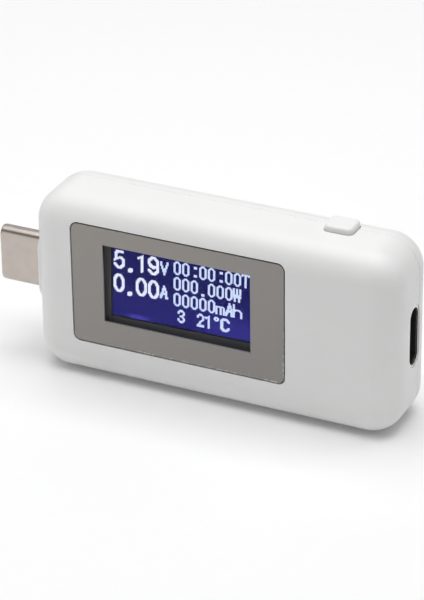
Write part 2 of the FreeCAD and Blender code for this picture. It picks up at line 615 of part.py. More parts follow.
def switch():
    """The side-push switch: body with a well, metal skin, plunger, dome and two terminals."""
    body = new_body("switch_body", "button_x", SWITCH_Y, SWITCH_TOP)
    outline = new_sketch(body, "XY_Plane", "outline")
    rectangle(outline, "switch_length", "switch_depth")
    extrude(body, "Pad", outline, "switch_height", backward=True)
    well = new_sketch(body, "XY_Plane", "well")
    rectangle(well, "plunger_length + 2 * plunger_gap", "plunger_depth + 2 * plunger_gap")
    extrude(body, "Pocket", well, WELL)
    skin = new_body("switch_skin", "button_x", SWITCH_Y, SWITCH_TOP)
    outline = new_sketch(skin, "XY_Plane", "outline", y="switch_skin / 2")
    rectangle(outline, "switch_length + 2 * switch_skin", "switch_depth + switch_skin")
    extrude(skin, "Pad", outline, "switch_skin_height", backward=True)
    inside = new_sketch(skin, "XY_Plane", "inside")
    rectangle(inside, "switch_length", "switch_depth")
    extrude(skin, "Pocket", inside, "switch_skin_height")
    block("switch_plunger", "plunger_length", "plunger_depth", "plunger_height", "button_x",
          "%s - plunger_depth / 2" % SWITCH_Y, "%s + plunger_reach - plunger_height / 2" % SWITCH_TOP)
    dome = doc.addObject("Part::Cylinder", "switch_dome")
    bind(dome, "Radius", "plunger_depth / 2")
    bind(dome, "Height", "dome_thickness")
    place(dome, "button_x", SWITCH_Y, "%s - %s" % (SWITCH_TOP, WELL))
    keep(dome, "switch_dome")
    terminals = [block("terminal_%d" % (side + 1), "terminal_length", "terminal_depth",
                       "terminal_height",
                       "button_x + %d * (switch_length / 2 + switch_skin + terminal_length / 2)" % side,
                       BOARD_REAR, "%s - switch_height / 2" % SWITCH_TOP, kept=False)
                 for side in (-1, 1)]
    group("switch_terminals", terminals)


def leads(label, count, upright):
    """Leads in two rows, on the left and right or on the top and bottom of a chip."""
    members = []
    for side in (-1, 1):
        for number in range(count):
            step = "%s * lead_pitch" % (number - (count - 1) / 2)
            name = "%s_lead_%d%d%d" % (label, upright, side + 1, number)
            if upright:
                reach = "%d * (%s_height / 2 + lead_reach / 2 - lead_thickness / 2)" % (side, label)
                place_x, place_z = "%s_x + %s" % (label, step), "%s_z + %s" % (label, reach)
                length, height = "lead_width", "lead_reach + lead_thickness"
            else:
                reach = "%d * (%s_length / 2 + lead_reach / 2 - lead_thickness / 2)" % (side, label)
                place_x, place_z = "%s_x + %s" % (label, reach), "%s_z + %s" % (label, step)
                length, height = "lead_reach + lead_thickness", "lead_width"
            members.append(block(name, length, "lead_thickness", height, place_x, BOARD_REAR, place_z,
                                 kept=False))
    return members


def board_parts():
    """The chips and other single parts on the back of the board."""
    side_leads = {"controller_chip": (8, True, True), "amplifier_chip": (4, False, True),
                  "voltage_regulator": (3, True, False)}
    for label, *_ in BOARD_PARTS:
        case = block(label + "_case" if label in side_leads else label, label + "_length",
                     label + "_depth", label + "_height", label + "_x", BOARD_REAR, label + "_z",
                     kept=label not in side_leads)
        if label in side_leads:
            count, top_and_bottom, left_and_right = side_leads[label]
            members = [case]
            if top_and_bottom:
                members += leads(label, count, upright=True)
            if left_and_right:
                members += leads(label, count, upright=False)
            fused(label, members)


def small_parts():
    """The rows of capacitors and resistors."""
    for label, kind, count in (("capacitors", "capacitor", CAPACITOR_COUNT),
                               ("resistors", "resistor", RESISTOR_COUNT)):
        members = [block("%s_%d" % (kind, number), kind + "_length", kind + "_depth",
                         kind + "_height", "%s_x + %d * %s_pitch" % (kind, number, kind), BOARD_REAR,
                         kind + "_z", kept=False) for number in range(count)]
        group(label, members)


def write_pieces():
    """Check every object, then write each piece to a STEP file named after it."""
    doc.recompute()
    for thing in doc.Objects:
        if "Invalid" in thing.State or "Error" in thing.State:
            raise RuntimeError("%s failed: %s" % (thing.Label, thing.State))
    for piece in pieces:
        if piece.Shape.isNull() or not piece.Shape.isValid() or not piece.Shape.Solids:
            raise RuntimeError("%s has no valid solid" % piece.Label)
    os.makedirs("parts", exist_ok=True)
    for piece in pieces:
        piece.Shape.exportStep(os.path.join("parts", piece.Label + ".step"))
        box = piece.Shape.BoundBox
        print("%-22s %d solids %9.3f mm3  x %.2f..%.2f y %.2f..%.2f z %.2f..%.2f" % (
            piece.Label, len(piece.Shape.Solids), piece.Shape.Volume,
            box.XMin, box.XMax, box.YMin, box.YMax, box.ZMin, box.ZMax))


front_cover()
rear_cover()
display_panel()
display_module()
lcd_flex()
display_holder()
main_board()
plug()
plug_collar()
port()
button_cap()
switch()
board_parts()
small_parts()
write_pieces()
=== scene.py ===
"""The looks of an in-line USB-C power meter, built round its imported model.

The file is laid out as an add-on, and runs as a script: an operator finishes each group of pieces,
and one more makes the stage. Lengths are in metres, in the model's own frame: +X runs from the plug
to the port, the display faces -Y and +Z is up.
"""
import bmesh
import bpy
import math
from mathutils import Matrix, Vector


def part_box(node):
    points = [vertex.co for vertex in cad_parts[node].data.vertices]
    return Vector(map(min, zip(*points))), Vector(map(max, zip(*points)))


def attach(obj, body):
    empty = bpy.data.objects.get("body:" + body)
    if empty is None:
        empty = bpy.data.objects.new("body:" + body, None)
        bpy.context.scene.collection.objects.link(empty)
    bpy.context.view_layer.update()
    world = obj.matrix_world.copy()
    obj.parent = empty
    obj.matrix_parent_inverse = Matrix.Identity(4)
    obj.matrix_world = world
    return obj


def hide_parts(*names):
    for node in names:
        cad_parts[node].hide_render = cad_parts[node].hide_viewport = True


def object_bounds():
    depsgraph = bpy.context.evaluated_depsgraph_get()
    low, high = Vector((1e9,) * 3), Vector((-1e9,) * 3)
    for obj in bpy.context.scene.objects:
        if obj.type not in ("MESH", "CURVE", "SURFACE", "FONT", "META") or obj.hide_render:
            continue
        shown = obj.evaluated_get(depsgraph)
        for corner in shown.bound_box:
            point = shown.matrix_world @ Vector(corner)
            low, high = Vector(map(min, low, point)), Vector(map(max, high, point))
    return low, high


bl_info = {
    "name": "USB power meter",
    "version": (1, 0, 0),
    "blender": (4, 5, 0),
    "location": "3D View > Sidebar > Meter",
    "description": "Finishes the case, display, plug, port, button and board of a USB power meter",
    "category": "Object",
}

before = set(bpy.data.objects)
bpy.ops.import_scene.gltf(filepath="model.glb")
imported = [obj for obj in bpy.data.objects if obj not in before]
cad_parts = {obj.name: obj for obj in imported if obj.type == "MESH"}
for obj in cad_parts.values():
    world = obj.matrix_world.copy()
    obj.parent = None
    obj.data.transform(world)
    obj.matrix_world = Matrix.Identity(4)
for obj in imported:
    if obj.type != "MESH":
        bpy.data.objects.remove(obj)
CAD_LOW, CAD_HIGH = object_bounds()
MM = 0.001
CASE_LOW, CASE_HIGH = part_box("front_cover")
FILM_LOW, FILM_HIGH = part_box("display_film")
GLASS_LOW, GLASS_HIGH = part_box("lcd_front_glass")
CASE_MIDDLE_X = (CASE_LOW.x + CASE_HIGH.x) / 2
CASE_MIDDLE_Z = (CASE_LOW.z + CASE_HIGH.z) / 2
GLINT_WIDTH = 0.20 * MM          # of the painted glints along the cut edges of the panel's film
STREAK_WIDTH = 0.10 * MM       # of the drawing marks in metal
STREAK_DEPTH = 0.0006 * MM


# ---------------------------------------------------------------------------------------------
# Sizes and colours that a user would change
# ---------------------------------------------------------------------------------------------

def length(name, description, default):
    return bpy.props.FloatProperty(name=name, description=description, default=default,
                                   unit="LENGTH", precision=6)


def share(name, description, default):
    return bpy.props.FloatProperty(name=name, description=description, default=default, precision=4)


def power(name, description, default):
    return bpy.props.FloatProperty(name=name, description=description, default=default, unit="POWER")


def colour(name, description, default):
    return bpy.props.FloatVectorProperty(name=name, description=description, default=default,
                                         subtype="COLOR", size=3, min=0.0, max=1.0)


class MeterSizes(bpy.types.PropertyGroup):
    """Sizes of the display and of the surface grain."""

    dot_pitch_x: length("Dot pitch across", "From one dot of the display to the next, along X",
                        0.1534 * MM)
    dot_pitch_z: length("Dot pitch up", "From one row of dots to the next, along Z", 0.1457 * MM)
    dot_fill: share("Dot fill", "Share of its pitch that a lit dot covers", 0.96)
    dot_spread: share("Dot spread", "Share of a dot that a stroke spreads at its ends", 0.25)
    stroke_trim: share("Stroke trim", "Share of a dot that large strokes lose at each side", 0.18)
    dot_height: length("Dot height", "How far a lit dot stands off the field", 0.012 * MM)
    first_dot_x: length("First column", "Left edge of the first column, from the case's middle",
                        -14.76 * MM)
    first_dot_z: length("First row", "Top edge of the first row, above the case's foot", 19.85 * MM)
    field_left: length("Field left", "Left edge of the lit field, from the case's middle", -14.86 * MM)
    field_right: length("Field right", "Right edge of the lit field, from the case's middle", 7.2 * MM)
    field_low: length("Field bottom", "Bottom edge of the lit field, above the case's foot", 10.06 * MM)
    field_high: length("Field top", "Top edge of the lit field, above the case's foot", 21.2 * MM)
    field_seal: length("Field seal", "Width of the dark line round the lit field", 0.24 * MM)
    display_depth: length("Display depth", "Depth of the lit field behind the case's front", 1.85 * MM)
    lean_x: share("Lean across", "How much deeper the display lies towards the port", 0.0256)
    lean_z: share("Lean back", "How much deeper the display lies towards its top", 0.05)
    cell_thickness: length("Cell thickness", "Thickness of the display cell", 0.2 * MM)
    plastic_grain: length("Plastic grain", "Size of the moulded surface's grain", 0.22 * MM)


class MeterColours(bpy.types.PropertyGroup):
    """Base colours of the finishes."""

    case: colour("Case", "White moulded plastic", (0.83, 0.83, 0.825))
    film: colour("Panel film", "Grey printed film round the window", (0.272, 0.257, 0.244))
    # Painted light: the lighter, warmer tone that the film is painted with towards its top left.
    film_warm_painted_light: colour("Panel film, warm", "The film's warmer tone", (0.352, 0.326, 0.299))
    border: colour("Display border", "Unlit rim of the display", (0.105, 0.108, 0.115))
    field: colour("Field", "Lit field between the dots", (0.009, 0.0075, 0.150))
    field_dark: colour("Field, dark", "Field where the light falls off", (0.003, 0.003, 0.090))
    field_bright: colour("Field, bright", "Streaks by the lamps at the lower edge", (0.055, 0.045, 0.40))
    digits: colour("Large digits", "Light of the large digits", (0.78, 0.83, 1.0))
    letters: colour("Small letters", "Light of the small letters", (0.60, 0.70, 1.0))
    nickel: colour("Nickel", "Plated shell of the plug", (0.55, 0.495, 0.455))
    steel: colour("Steel", "Shell of the port", (0.66, 0.645, 0.63))
    gold: colour("Gold", "Contacts", (0.83, 0.60, 0.24))
    board: colour("Board", "Solder mask of the main board", (0.01, 0.11, 0.045))
    floor: colour("Floor", "Pale floor", (0.90, 0.90, 0.90))


class MeterStage(bpy.types.PropertyGroup):
    """The camera and the lights."""

    azimuth: bpy.props.FloatProperty(name="Azimuth", description="Camera's turn from the front",
                                     default=math.radians(25.705), subtype="ANGLE")
    elevation: bpy.props.FloatProperty(name="Elevation", description="Camera's height as an angle",
                                       default=math.radians(28.089), subtype="ANGLE")
    roll: bpy.props.FloatProperty(name="Roll", description="Camera's roll",
                                  default=math.radians(-0.798), subtype="ANGLE")
    distance: length("Distance", "From the camera to the case's middle", 391.99 * MM)
    aside: length("Aside", "How far the case's middle lies right of the view's", 2.26 * MM)
    above: length("Above", "How far the case's middle lies above the view's", 0.2835 * MM)
    focal_length: bpy.props.FloatProperty(name="Focal length", description="Lens, in millimetres",
                                          default=175.95, subtype="DISTANCE_CAMERA")
    key_power: power("Key light", "Light from straight above", 2.83)
    port_power: power("Port light", "Light from the port's side", 0.27)
    plug_power: power("Plug light", "Light from the plug's side", 0.43)
    rim_power: power("Rim light", "Light from behind and above the port", 0.18)
    front_power: power("Front light", "Low light from in front of the plug", 0.38)
    back_power: power("Back light", "Light from behind the plug", 0.24)
    sky: share("Sky", "Brightness of the surroundings", 0.07)
    floor_glow: share("Floor glow", "Light that the floor gives off", 0.04)


# ---------------------------------------------------------------------------------------------
# Shader maths
# ---------------------------------------------------------------------------------------------

class Wire:
    """An output socket. Python's operators on it add Math nodes."""

    def __init__(self, paint, socket):
        self.paint = paint
        self.socket = socket

    def math(self, operation, *terms):
        return self.paint.node("ShaderNodeMath", {"operation": operation}, dict(enumerate(terms)))

    def __add__(self, other):
        return self.math("ADD", self, other)

    def __sub__(self, other):
        return self.math("SUBTRACT", self, other)

    def __rsub__(self, other):
        return self.math("SUBTRACT", other, self)

    def __mul__(self, other):
        return self.math("MULTIPLY", self, other)

    __radd__ = __add__
    __rmul__ = __mul__

    def ramp(self, low, high):
        """0 at low, 1 at high, smooth between them and flat outside."""
        return self.paint.node("ShaderNodeMapRange", {"interpolation_type": "SMOOTHSTEP"},
                               {"Value": self, "From Min": low, "From Max": high})


class Paint:
    """One material, built node by node on its Principled shader."""

    def __init__(self, name, **constants):
        self.material = bpy.data.materials.new(name)
        self.material.use_nodes = True
        self.tree = self.material.node_tree
        self.shader = self.tree.nodes["Principled BSDF"]
        self.place = self.node("ShaderNodeTexCoord", output="Object")
        self.set(**constants)

    def node(self, kind, settings=None, inputs=None, output=0):
        """Add a node, set it up, feed its sockets, and return one of its outputs."""
        made = self.tree.nodes.new(kind)
        for name, value in (settings or {}).items():
            setattr(made, name, value)
        for key, value in (inputs or {}).items():
            self.feed(made.inputs[key], value)
        return Wire(self, made.outputs[output])

    def feed(self, socket, value):
        if isinstance(value, Wire):
            self.tree.links.new(value.socket, socket)
        elif socket.type == "RGBA":
            socket.default_value = (*value[:3], 1.0)
        else:
            socket.default_value = value

    def set(self, **values):
        """Feed the shader's sockets, named as in base_color=..., roughness=..."""
        for name, value in values.items():
            self.feed(self.shader.inputs[SOCKETS[name]], value)
        return self

    def noise(self, size, detail=2.0, stretch=(1.0, 1.0, 1.0)):
        """Noise with features of the given size, drawn out along an axis where stretch is under 1."""
        spread = self.node("ShaderNodeVectorMath", {"operation": "MULTIPLY"},
                           {0: self.place, 1: stretch})
        return self.node("ShaderNodeTexNoise", {}, {"Vector": spread, "Scale": 1.0 / size,
                                                     "Detail": detail}, "Fac")

    def cells(self, size):
        return self.node("ShaderNodeTexVoronoi", {"feature": "F1"},
                         {"Vector": self.place, "Scale": 1.0 / size}, "Distance")

    def mix(self, factor, first, second):
        """A colour between two colours."""
        return self.node("ShaderNodeMix", {"data_type": "RGBA"},
                         {0: factor, 6: first, 7: second}, 2)

    def axis(self, name):
        """One coordinate of the surface, in metres."""
        return self.node("ShaderNodeSeparateXYZ", {}, {0: self.place}, name)

    def bump(self, height, depth):
        """Relief that is the given depth from 0 to 1 of the height."""
        return self.node("ShaderNodeBump", {}, {"Height": height, "Distance": depth}, "Normal")


SOCKETS = {
    "base_color": "Base Color", "roughness": "Roughness", "metallic": "Metallic", "normal": "Normal",
    "coat": "Coat Weight", "coat_roughness": "Coat Roughness", "ior": "IOR",
    "emission": "Emission Color", "emission_strength": "Emission Strength",
    "specular": "Specular IOR Level",
}


def darker(tone, factor):
    return tuple(value * factor for value in tone)


def moulded(name, tone, roughness=0.42, grain=0.22 * MM):
    """Injection-moulded plastic: a fine spark-eroded grain, with slow drifts of tone and gloss."""
    mottle = 0.02
    relief = 0.0012 * MM
    paint = Paint(name, ior=1.5)
    drift = paint.noise(9 * MM, 3.0)
    fine = paint.noise(grain, 3.0)
    scuffs = paint.noise(1.7 * MM, 4.0, (0.25, 1.0, 1.0)).ramp(0.62, 0.78)
    tone_map = paint.mix(drift.ramp(0.3, 0.7), darker(tone, 1 - mottle), tone)
    return paint.set(
        base_color=paint.mix(scuffs * 0.35, tone_map, darker(tone, 1 - 2 * mottle)),
        roughness=roughness + (drift - 0.5) * 0.10 + (fine - 0.5) * 0.05 - scuffs * 0.04,
        normal=paint.bump(fine, relief)).material


def printed_film(name, tone, warm):
    """Screen-printed film: semi-gloss, finely grained, with rough painted glints along two cut edges,
    and painted light that makes it lighter and warmer towards its top left.
    """
    paint = Paint(name, ior=1.53, coat_roughness=0.18)
    peel = paint.noise(0.9 * MM, 2.0)
    grain = paint.noise(0.12 * MM, 2.0)
    drift = paint.noise(14 * MM, 2.0)
    across = paint.axis("X").ramp(FILM_LOW.x, FILM_HIGH.x)
    downward = 1 - paint.axis("Z").ramp(FILM_LOW.z, FILM_HIGH.z)
    # Painted glints: bright broken dashes along the bottom and right cut edges, where light catches
    # them.
    foot = 1 - paint.axis("Z").ramp(FILM_LOW.z + 0.2 * GLINT_WIDTH, FILM_LOW.z + GLINT_WIDTH)
    side = paint.axis("X").ramp(FILM_HIGH.x - GLINT_WIDTH, FILM_HIGH.x - 0.2 * GLINT_WIDTH)
    glint_breaks = paint.noise(0.35 * MM, 4.0).ramp(0.50, 0.60)
    painted_glints = foot * across.ramp(0.0, 0.35) * glint_breaks + side * downward.ramp(0.4, 0.8) * glint_breaks * 0.6
    # Painted light: the film goes from the lighter, warmer tone at its top left to its own grey at its
    # bottom right.
    tone_map = paint.mix(across * 0.5 + downward * 0.5, warm, tone)
    printed = paint.mix((grain - 0.5) * 0.5 + 0.25 + drift * 0.1, tone_map, darker(tone, 0.9))
    return paint.set(
        # The painted glints turn the print near white on the cut edges.
        base_color=paint.mix(painted_glints, printed, (0.80, 0.77, 0.73)),
        roughness=0.36 + (grain - 0.5) * 0.12 + (drift - 0.5) * 0.08 + painted_glints * 0.3,
        coat=0.25 + (drift - 0.5) * 0.1,
        normal=paint.bump(peel * 0.7 + grain * 0.3, 0.0016 * MM)).material


def clear_sheet(name):
    """Clear acrylic: it lets nearly all of the light pass, and reflects a little of it."""
    clear = (1.0, 1.0, 1.0)
    acrylic_ior = 1.49
    reflecting = 0.1
    paint = Paint(name, base_color=clear, ior=acrylic_ior)
    smear = paint.noise(6 * MM, 3.0)
    paint.set(roughness=0.03 + smear.ramp(0.5, 0.8) * 0.10)
    through = paint.node("ShaderNodeBsdfTransparent", {}, {"Color": clear})
    edge_on = paint.node("ShaderNodeFresnel", {}, {"IOR": acrylic_ior})
    blend = paint.node("ShaderNodeMixShader", {}, {0: edge_on * reflecting, 1: through})
    paint.tree.links.new(paint.shader.outputs[0], blend.socket.node.inputs[2])
    paint.tree.links.new(blend.socket, paint.tree.nodes["Material Output"].inputs["Surface"])
    return paint.material


def drawn_metal(name, tone, roughness):
    """Plated sheet drawn along X: hair-fine streaks, and a little cloudiness in the plating."""
    paint = Paint(name, metallic=1.0)
    streaks = paint.noise(STREAK_WIDTH, 4.0, (0.04, 1.0, 1.0))
    clouds = paint.noise(1.6 * MM, 3.0)
    pits = paint.noise(0.06 * MM, 2.0).ramp(0.68, 0.80)
    return paint.set(
        base_color=paint.mix(clouds.ramp(0.3, 0.7) * 0.6 + streaks * 0.3, darker(tone, 0.88), tone),
        roughness=roughness + (streaks - 0.5) * 0.14 + (clouds - 0.5) * 0.08 + pits * 0.1,
        normal=paint.bump(streaks + pits * 0.4, STREAK_DEPTH)).material


def port_metal(name, tone):
    """The port's shell: bright at its mouth, with painted shade inside it from about 0.1 mm past the
    mouth.
    """
    paint = Paint(name, metallic=1.0)
    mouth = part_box("usb_port_shell")[1].x
    streaks = paint.noise(STREAK_WIDTH, 4.0, (0.05, 1.0, 1.0))
    # Painted shade: depth rises from 0 to 1 between 0.10 and 0.32 mm inside the mouth.
    depth = 1 - paint.axis("X").ramp(mouth - 0.32 * MM, mouth - 0.10 * MM)
    specks = paint.noise(0.12 * MM, 3.0).ramp(0.62, 0.72)
    # The painted shade's colour, broken by lighter specks.
    painted_shade = paint.mix(specks * 0.5, darker(tone, 0.05), darker(tone, 0.35))
    return paint.set(
        base_color=paint.mix(depth, tone, painted_shade),
        roughness=0.24 + (streaks - 0.5) * 0.12 + depth * 0.25,
        metallic=1 - depth * 0.5,
        normal=paint.bump(streaks, STREAK_DEPTH)).material


def foam(name, tone):
    """Closed-cell foam tape."""
    paint = Paint(name, specular=0.25)
    cells = paint.cells(0.16 * MM)
    return paint.set(
        base_color=paint.mix(cells.ramp(0.1, 0.7), tone, darker(tone, 1.8)),
        roughness=0.85 - cells * 0.2,
        normal=paint.bump(cells, 0.02 * MM)).material


def laminate(name, tone):
    """Solder mask over the weave of the laminate and the copper under it."""
    paint = Paint(name, ior=1.5)
    wave_scale = 260.0             # a thread about every 1.2 mm
    weave, weft = (
        paint.node("ShaderNodeTexWave", {"bands_direction": direction},
                   {"Vector": paint.place, "Scale": wave_scale, "Distortion": 1.5}, "Fac")
        for direction in ("X", "Z"))
    copper = paint.noise(3.2 * MM, 1.0).ramp(0.50, 0.53)
    return paint.set(
        base_color=paint.mix(copper, darker(tone, 0.7), darker(tone, 1.5)),
        roughness=0.30 + weave * 0.06 + copper * 0.05,
        normal=paint.bump(weave * 0.3 + weft * 0.3 + copper, 0.012 * MM)).material


def epoxy(name, tone, roughness=0.55, grain=0.05 * MM):
    """Moulded epoxy or fired body of an electronic part."""
    paint = Paint(name, ior=1.55)
    grit = paint.noise(grain, 4.0)
    haze = paint.noise(1.2 * MM, 2.0)
    return paint.set(
        base_color=paint.mix(grit * 0.6 + haze * 0.3, darker(tone, 0.75), darker(tone, 1.25)),
        roughness=roughness + (grit - 0.5) * 0.2,
        normal=paint.bump(grit, 0.004 * MM)).material


def display_border(name, tone):
    """The unlit rim of the display: smoked glass over black print."""
    paint = Paint(name, specular=0.15)
    dust = paint.noise(0.05 * MM, 2.0).ramp(0.66, 0.75)
    haze = paint.noise(5 * MM, 2.0)
    return paint.set(
        base_color=paint.mix(dust * 0.5 + haze * 0.4, tone, darker(tone, 1.35)),
        roughness=0.34 + haze * 0.12 + dust * 0.2,
        normal=paint.bump(haze + dust * 0.2, 0.003 * MM)).material


def lit_field(name, colours, sizes):
    """The backlit field: brighter towards its foot and the port, with a streak by each lamp."""
    paint = Paint(name, base_color=(0.004, 0.004, 0.008), specular=0.05, emission_strength=1.0)
    across = paint.axis("X").ramp(CASE_MIDDLE_X + sizes.field_left, CASE_MIDDLE_X + sizes.field_right)
    upward = paint.axis("Z").ramp(sizes.field_low, sizes.field_high)
    mottle = paint.noise(1.1 * MM, 3.0)
    streak = paint.noise(2.6 * MM, 2.0, (0.5, 1.0, 1.6))
    lamp = (1 - upward).ramp(0.985, 1.0) * across.ramp(0.01, 0.06) * (1 - across.ramp(0.08, 0.20))
    haze = (1 - upward).ramp(0.72, 1.0) * across.ramp(0.55, 0.80)
    base = paint.mix(upward.ramp(0.05, 0.60) * 0.9, tuple(colours.field), tuple(colours.field_dark))
    lit = paint.mix(lamp * 0.9 + haze * 0.33, base, tuple(colours.field_bright))
    shade = mottle.ramp(0.3, 0.7) * 0.12 + streak.ramp(0.45, 0.7) * 0.14
    return paint.set(
        emission=paint.mix(shade, lit, tuple(colours.field_dark)),
        roughness=0.35 + mottle * 0.1).material


def lit_dots(name, tone):
    """Lit dots, not quite even in brightness."""
    paint = Paint(name, base_color=(0.05, 0.05, 0.08), emission_strength=1.0)
    uneven = paint.noise(0.5 * MM, 2.0)
    return paint.set(
        emission=paint.mix(uneven.ramp(0.25, 0.75), darker(tone, 0.86), tone),
        roughness=0.35 + uneven * 0.1).material


# ---------------------------------------------------------------------------------------------
# Meshes
# ---------------------------------------------------------------------------------------------

def finish_node(node, material):
    """Give a carried-over part its material."""
    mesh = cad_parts[node].data
    mesh.materials.clear()
    mesh.materials.append(material)


def add_piece(name, mesh, material, body):
    piece = bpy.data.objects.new(name, mesh)
    bpy.context.scene.collection.objects.link(piece)
    mesh.materials.append(material)
    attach(piece, body)
    return piece


def display_point(sizes, x, z, lift):
    """A point of the display's leaning plane: x and z are across and up, lift is towards the front."""
    middle_x = (FILM_LOW.x + FILM_HIGH.x) / 2
    middle_z = (GLASS_LOW.z + GLASS_HIGH.z) / 2
    depth = sizes.display_depth + sizes.lean_x * (x - middle_x) + sizes.lean_z * (z - middle_z)
    return Vector((x, CASE_LOW.y + depth - lift, z))


def add_slab(shape, sizes, left, right, low, high, back, front):
    """A closed block between two heights over the display's plane."""
    corners = ((left, low), (right, low), (right, high), (left, high))
    rear = [shape.verts.new(display_point(sizes, x, z, back)) for x, z in corners]
    fore = [shape.verts.new(display_point(sizes, x, z, front)) for x, z in corners]
    shape.faces.new(fore)
    shape.faces.new(rear[::-1])
    for number in range(4):
        after = (number + 1) % 4
        shape.faces.new((rear[number], rear[after], fore[after], fore[number]))


def mesh_of(shape, name, bevel=0.0):
    """Turn a bmesh into a mesh, with its edges eased."""
    if bevel:
        bmesh.ops.bevel(shape, geom=shape.edges[:], offset=bevel, segments=3, profile=0.5,
                        affect="EDGES")
    bmesh.ops.recalc_face_normals(shape, faces=shape.faces[:])
    mesh = bpy.data.meshes.new(name)
    shape.to_mesh(mesh)
    shape.free()
    return mesh


# Dot-matrix characters, one string a row from the top, and rows alike given once with a count.
LARGE = {
    "0": """...#####...|..#######..|.####.####.|.###...###.|####...####|8*###.....###|####...####|
            .###...###.|.####.####.|..#######..|...#####...""",
    "1": """........#..|.......##..|.....####..|...######..|...##.###..|12*......###..|......##...""",
    "5": """2*..########.|.####......|3*.###.......|.###.####..|.#########.|.####..####|
            ###.....###|##......###|2*........###|###.....###|####...####|.####.####.|
            ..#######..|...#####...""",
    "9": """...#####...|..#######..|.####.####.|####...####|3*###.....###|####....###|
            .####...###|.##########|..#########|....###.###|........###|###.....###|
            ####...####|.####.####.|..#######..|...#####...""",
    ".": ".####|2*#####|####.",
}
SMALL = {
    "0": "...##...|..#..#..|9*.#....#.|..#..#..|...##...",
    ":": "2*......|2*....##|6*......|2*....##",
    ".": "12*.....|2*...##",
    "T": "#######|#..#..#|11*...#...",
    "W": "6*#..#..#|#.##.#.|2*#.#.#.#|4*.#...#.",
    "m": "5*........|####.##.|7*#...#..#",
    "A": "2*....#...|....##..|2*...#.#..|2*...#..#.|2*..#####.|2*.##...#.|2*.#....##",
    "h": "5*#.......|#.####..|##....#.|6*#......#",
    "V": "3*#.....#|#....#.|2*.#...#.|.#..#..|3*..#.#..|3*...#...",
}
MEDIUM = {
    "3": """..###..|.#####.|2*##...##|.....##|....##.|..###..|....##.|.....##|2*##...##|.#####.|
            ..###..""",
    "2": "..###..|.#####.|2*##...##|2*.....##|....##.|...##..|2*..##...|.##....|2*#######",
    "1": "....#..|...##..|#####..|.#.##..|9*...##..",
    "o": ".###.|2*##.##|.###.",
    "C": """..#####..|.#######.|###...###|###....##|5*###......|###....##|####..###|.#######.|
            ..#####..""",
}
# What the display shows: characters, font, first column, first row, and columns from one
# character to the next.
READINGS = (
    ("5", LARGE, 0.2, 1.2, 12), (".", LARGE, 13.9, 17.1, 12), ("1", LARGE, 20.1, 1.2, 12),
    ("9", LARGE, 32.9, 1.2, 12), ("V", SMALL, 44.9, 4.2, 8),
    ("0", LARGE, -0.1, 24.85, 12), (".", LARGE, 13.3, 40.9, 12), ("00", LARGE, 21.4, 24.85, 11.7),
    ("A", SMALL, 43.6, 28.0, 8),
    ("00:00:00T", SMALL, 56.6, 1.33, 8.08), ("000.000W", SMALL, 56.6, 16.95, 8.12),
    ("00000mAh", SMALL, 56.6, 32.85, 8.15),
    ("3", MEDIUM, 61.6, 49.1, 8), ("2", MEDIUM, 79.9, 49.1, 8), ("1", MEDIUM, 87.2, 49.1, 8),
    ("o", MEDIUM, 95.9, 49.2, 8), ("C", MEDIUM, 102.0, 49.1, 8),
)


def lit_dots_of(letter, font):
    """The column and row of each lit dot of one character. Small characters have doubled strokes."""
    lit = set()
    row = 0
    for line in "".join(font[letter].split()).split("|"):
        count, _, marks = line.rpartition("*")
        for _ in range(int(count or 1)):
            lit.update((column, row) for column, mark in enumerate(marks) if mark == "#")
            row += 1
    if font is SMALL:
        lit.update([(column + 1, row) for column, row in lit])
    return lit


def dots_mesh(name, fonts, sizes):
    """Every lit dot of the fonts, as low blocks on the lit field.

    Strokes spread at their ends, and those of the large digits are trimmed at their sides.
    """
    shape = bmesh.new()
    gap = (1 - sizes.dot_fill) / 2
    for text, font, first_column, first_row, pitch in READINGS:
        if font not in fonts:
            continue
        for place, letter in enumerate(text):
            lit = lit_dots_of(letter, font)
            trim = sizes.stroke_trim if font is LARGE else gap
            for column, row in sorted(lit):
                across = first_column + place * pitch + column
                upper = gap if (column, row - 1) in lit else -sizes.dot_spread
                lower = gap if (column, row + 1) in lit else -sizes.dot_spread
                before = gap if (column - 1, row) in lit else trim
                beyond = gap if (column + 1, row) in lit else trim
                left = CASE_MIDDLE_X + sizes.first_dot_x + across * sizes.dot_pitch_x
                high = sizes.first_dot_z - (first_row + row) * sizes.dot_pitch_z
                add_slab(shape, sizes, left + before * sizes.dot_pitch_x,
                         left + (1 - beyond) * sizes.dot_pitch_x,
                         high - (1 - lower) * sizes.dot_pitch_z, high - upper * sizes.dot_pitch_z,
                         sizes.dot_height, 2 * sizes.dot_height)
    return mesh_of(shape, name)


# ---------------------------------------------------------------------------------------------
# Operators, one for each group of pieces
# ---------------------------------------------------------------------------------------------

class METER_OT_case(bpy.types.Operator):
    """Finish the two halves of the case and the collar round the plug"""

    bl_idname = "meter.case"
    bl_label = "Case"

    def execute(self, context):
        colours, sizes = context.scene.meter_colours, context.scene.meter_sizes
        shell = moulded("case_plastic", tuple(colours.case), grain=sizes.plastic_grain)
        finish_node("front_cover", shell)
        finish_node("rear_cover", shell)
        finish_node("plug_collar", moulded("collar_plastic", darker(tuple(colours.case), 0.99),
                                           roughness=0.46, grain=sizes.plastic_grain))
        return {"FINISHED"}


class METER_OT_panel(bpy.types.Operator):
    """Finish the grey film, the clear lens behind it and what seals them"""

    bl_idname = "meter.panel"
    bl_label = "Display panel"

    def execute(self, context):
        colours = context.scene.meter_colours
        finish_node("display_film", printed_film("panel_film", tuple(colours.film),
                                                 tuple(colours.film_warm_painted_light)))
        finish_node("display_lens", clear_sheet("lens_acrylic"))
        tape = foam("seal_foam", (0.012, 0.012, 0.012))
        finish_node("lens_adhesive", tape)
        finish_node("display_gasket", tape)
        return {"FINISHED"}


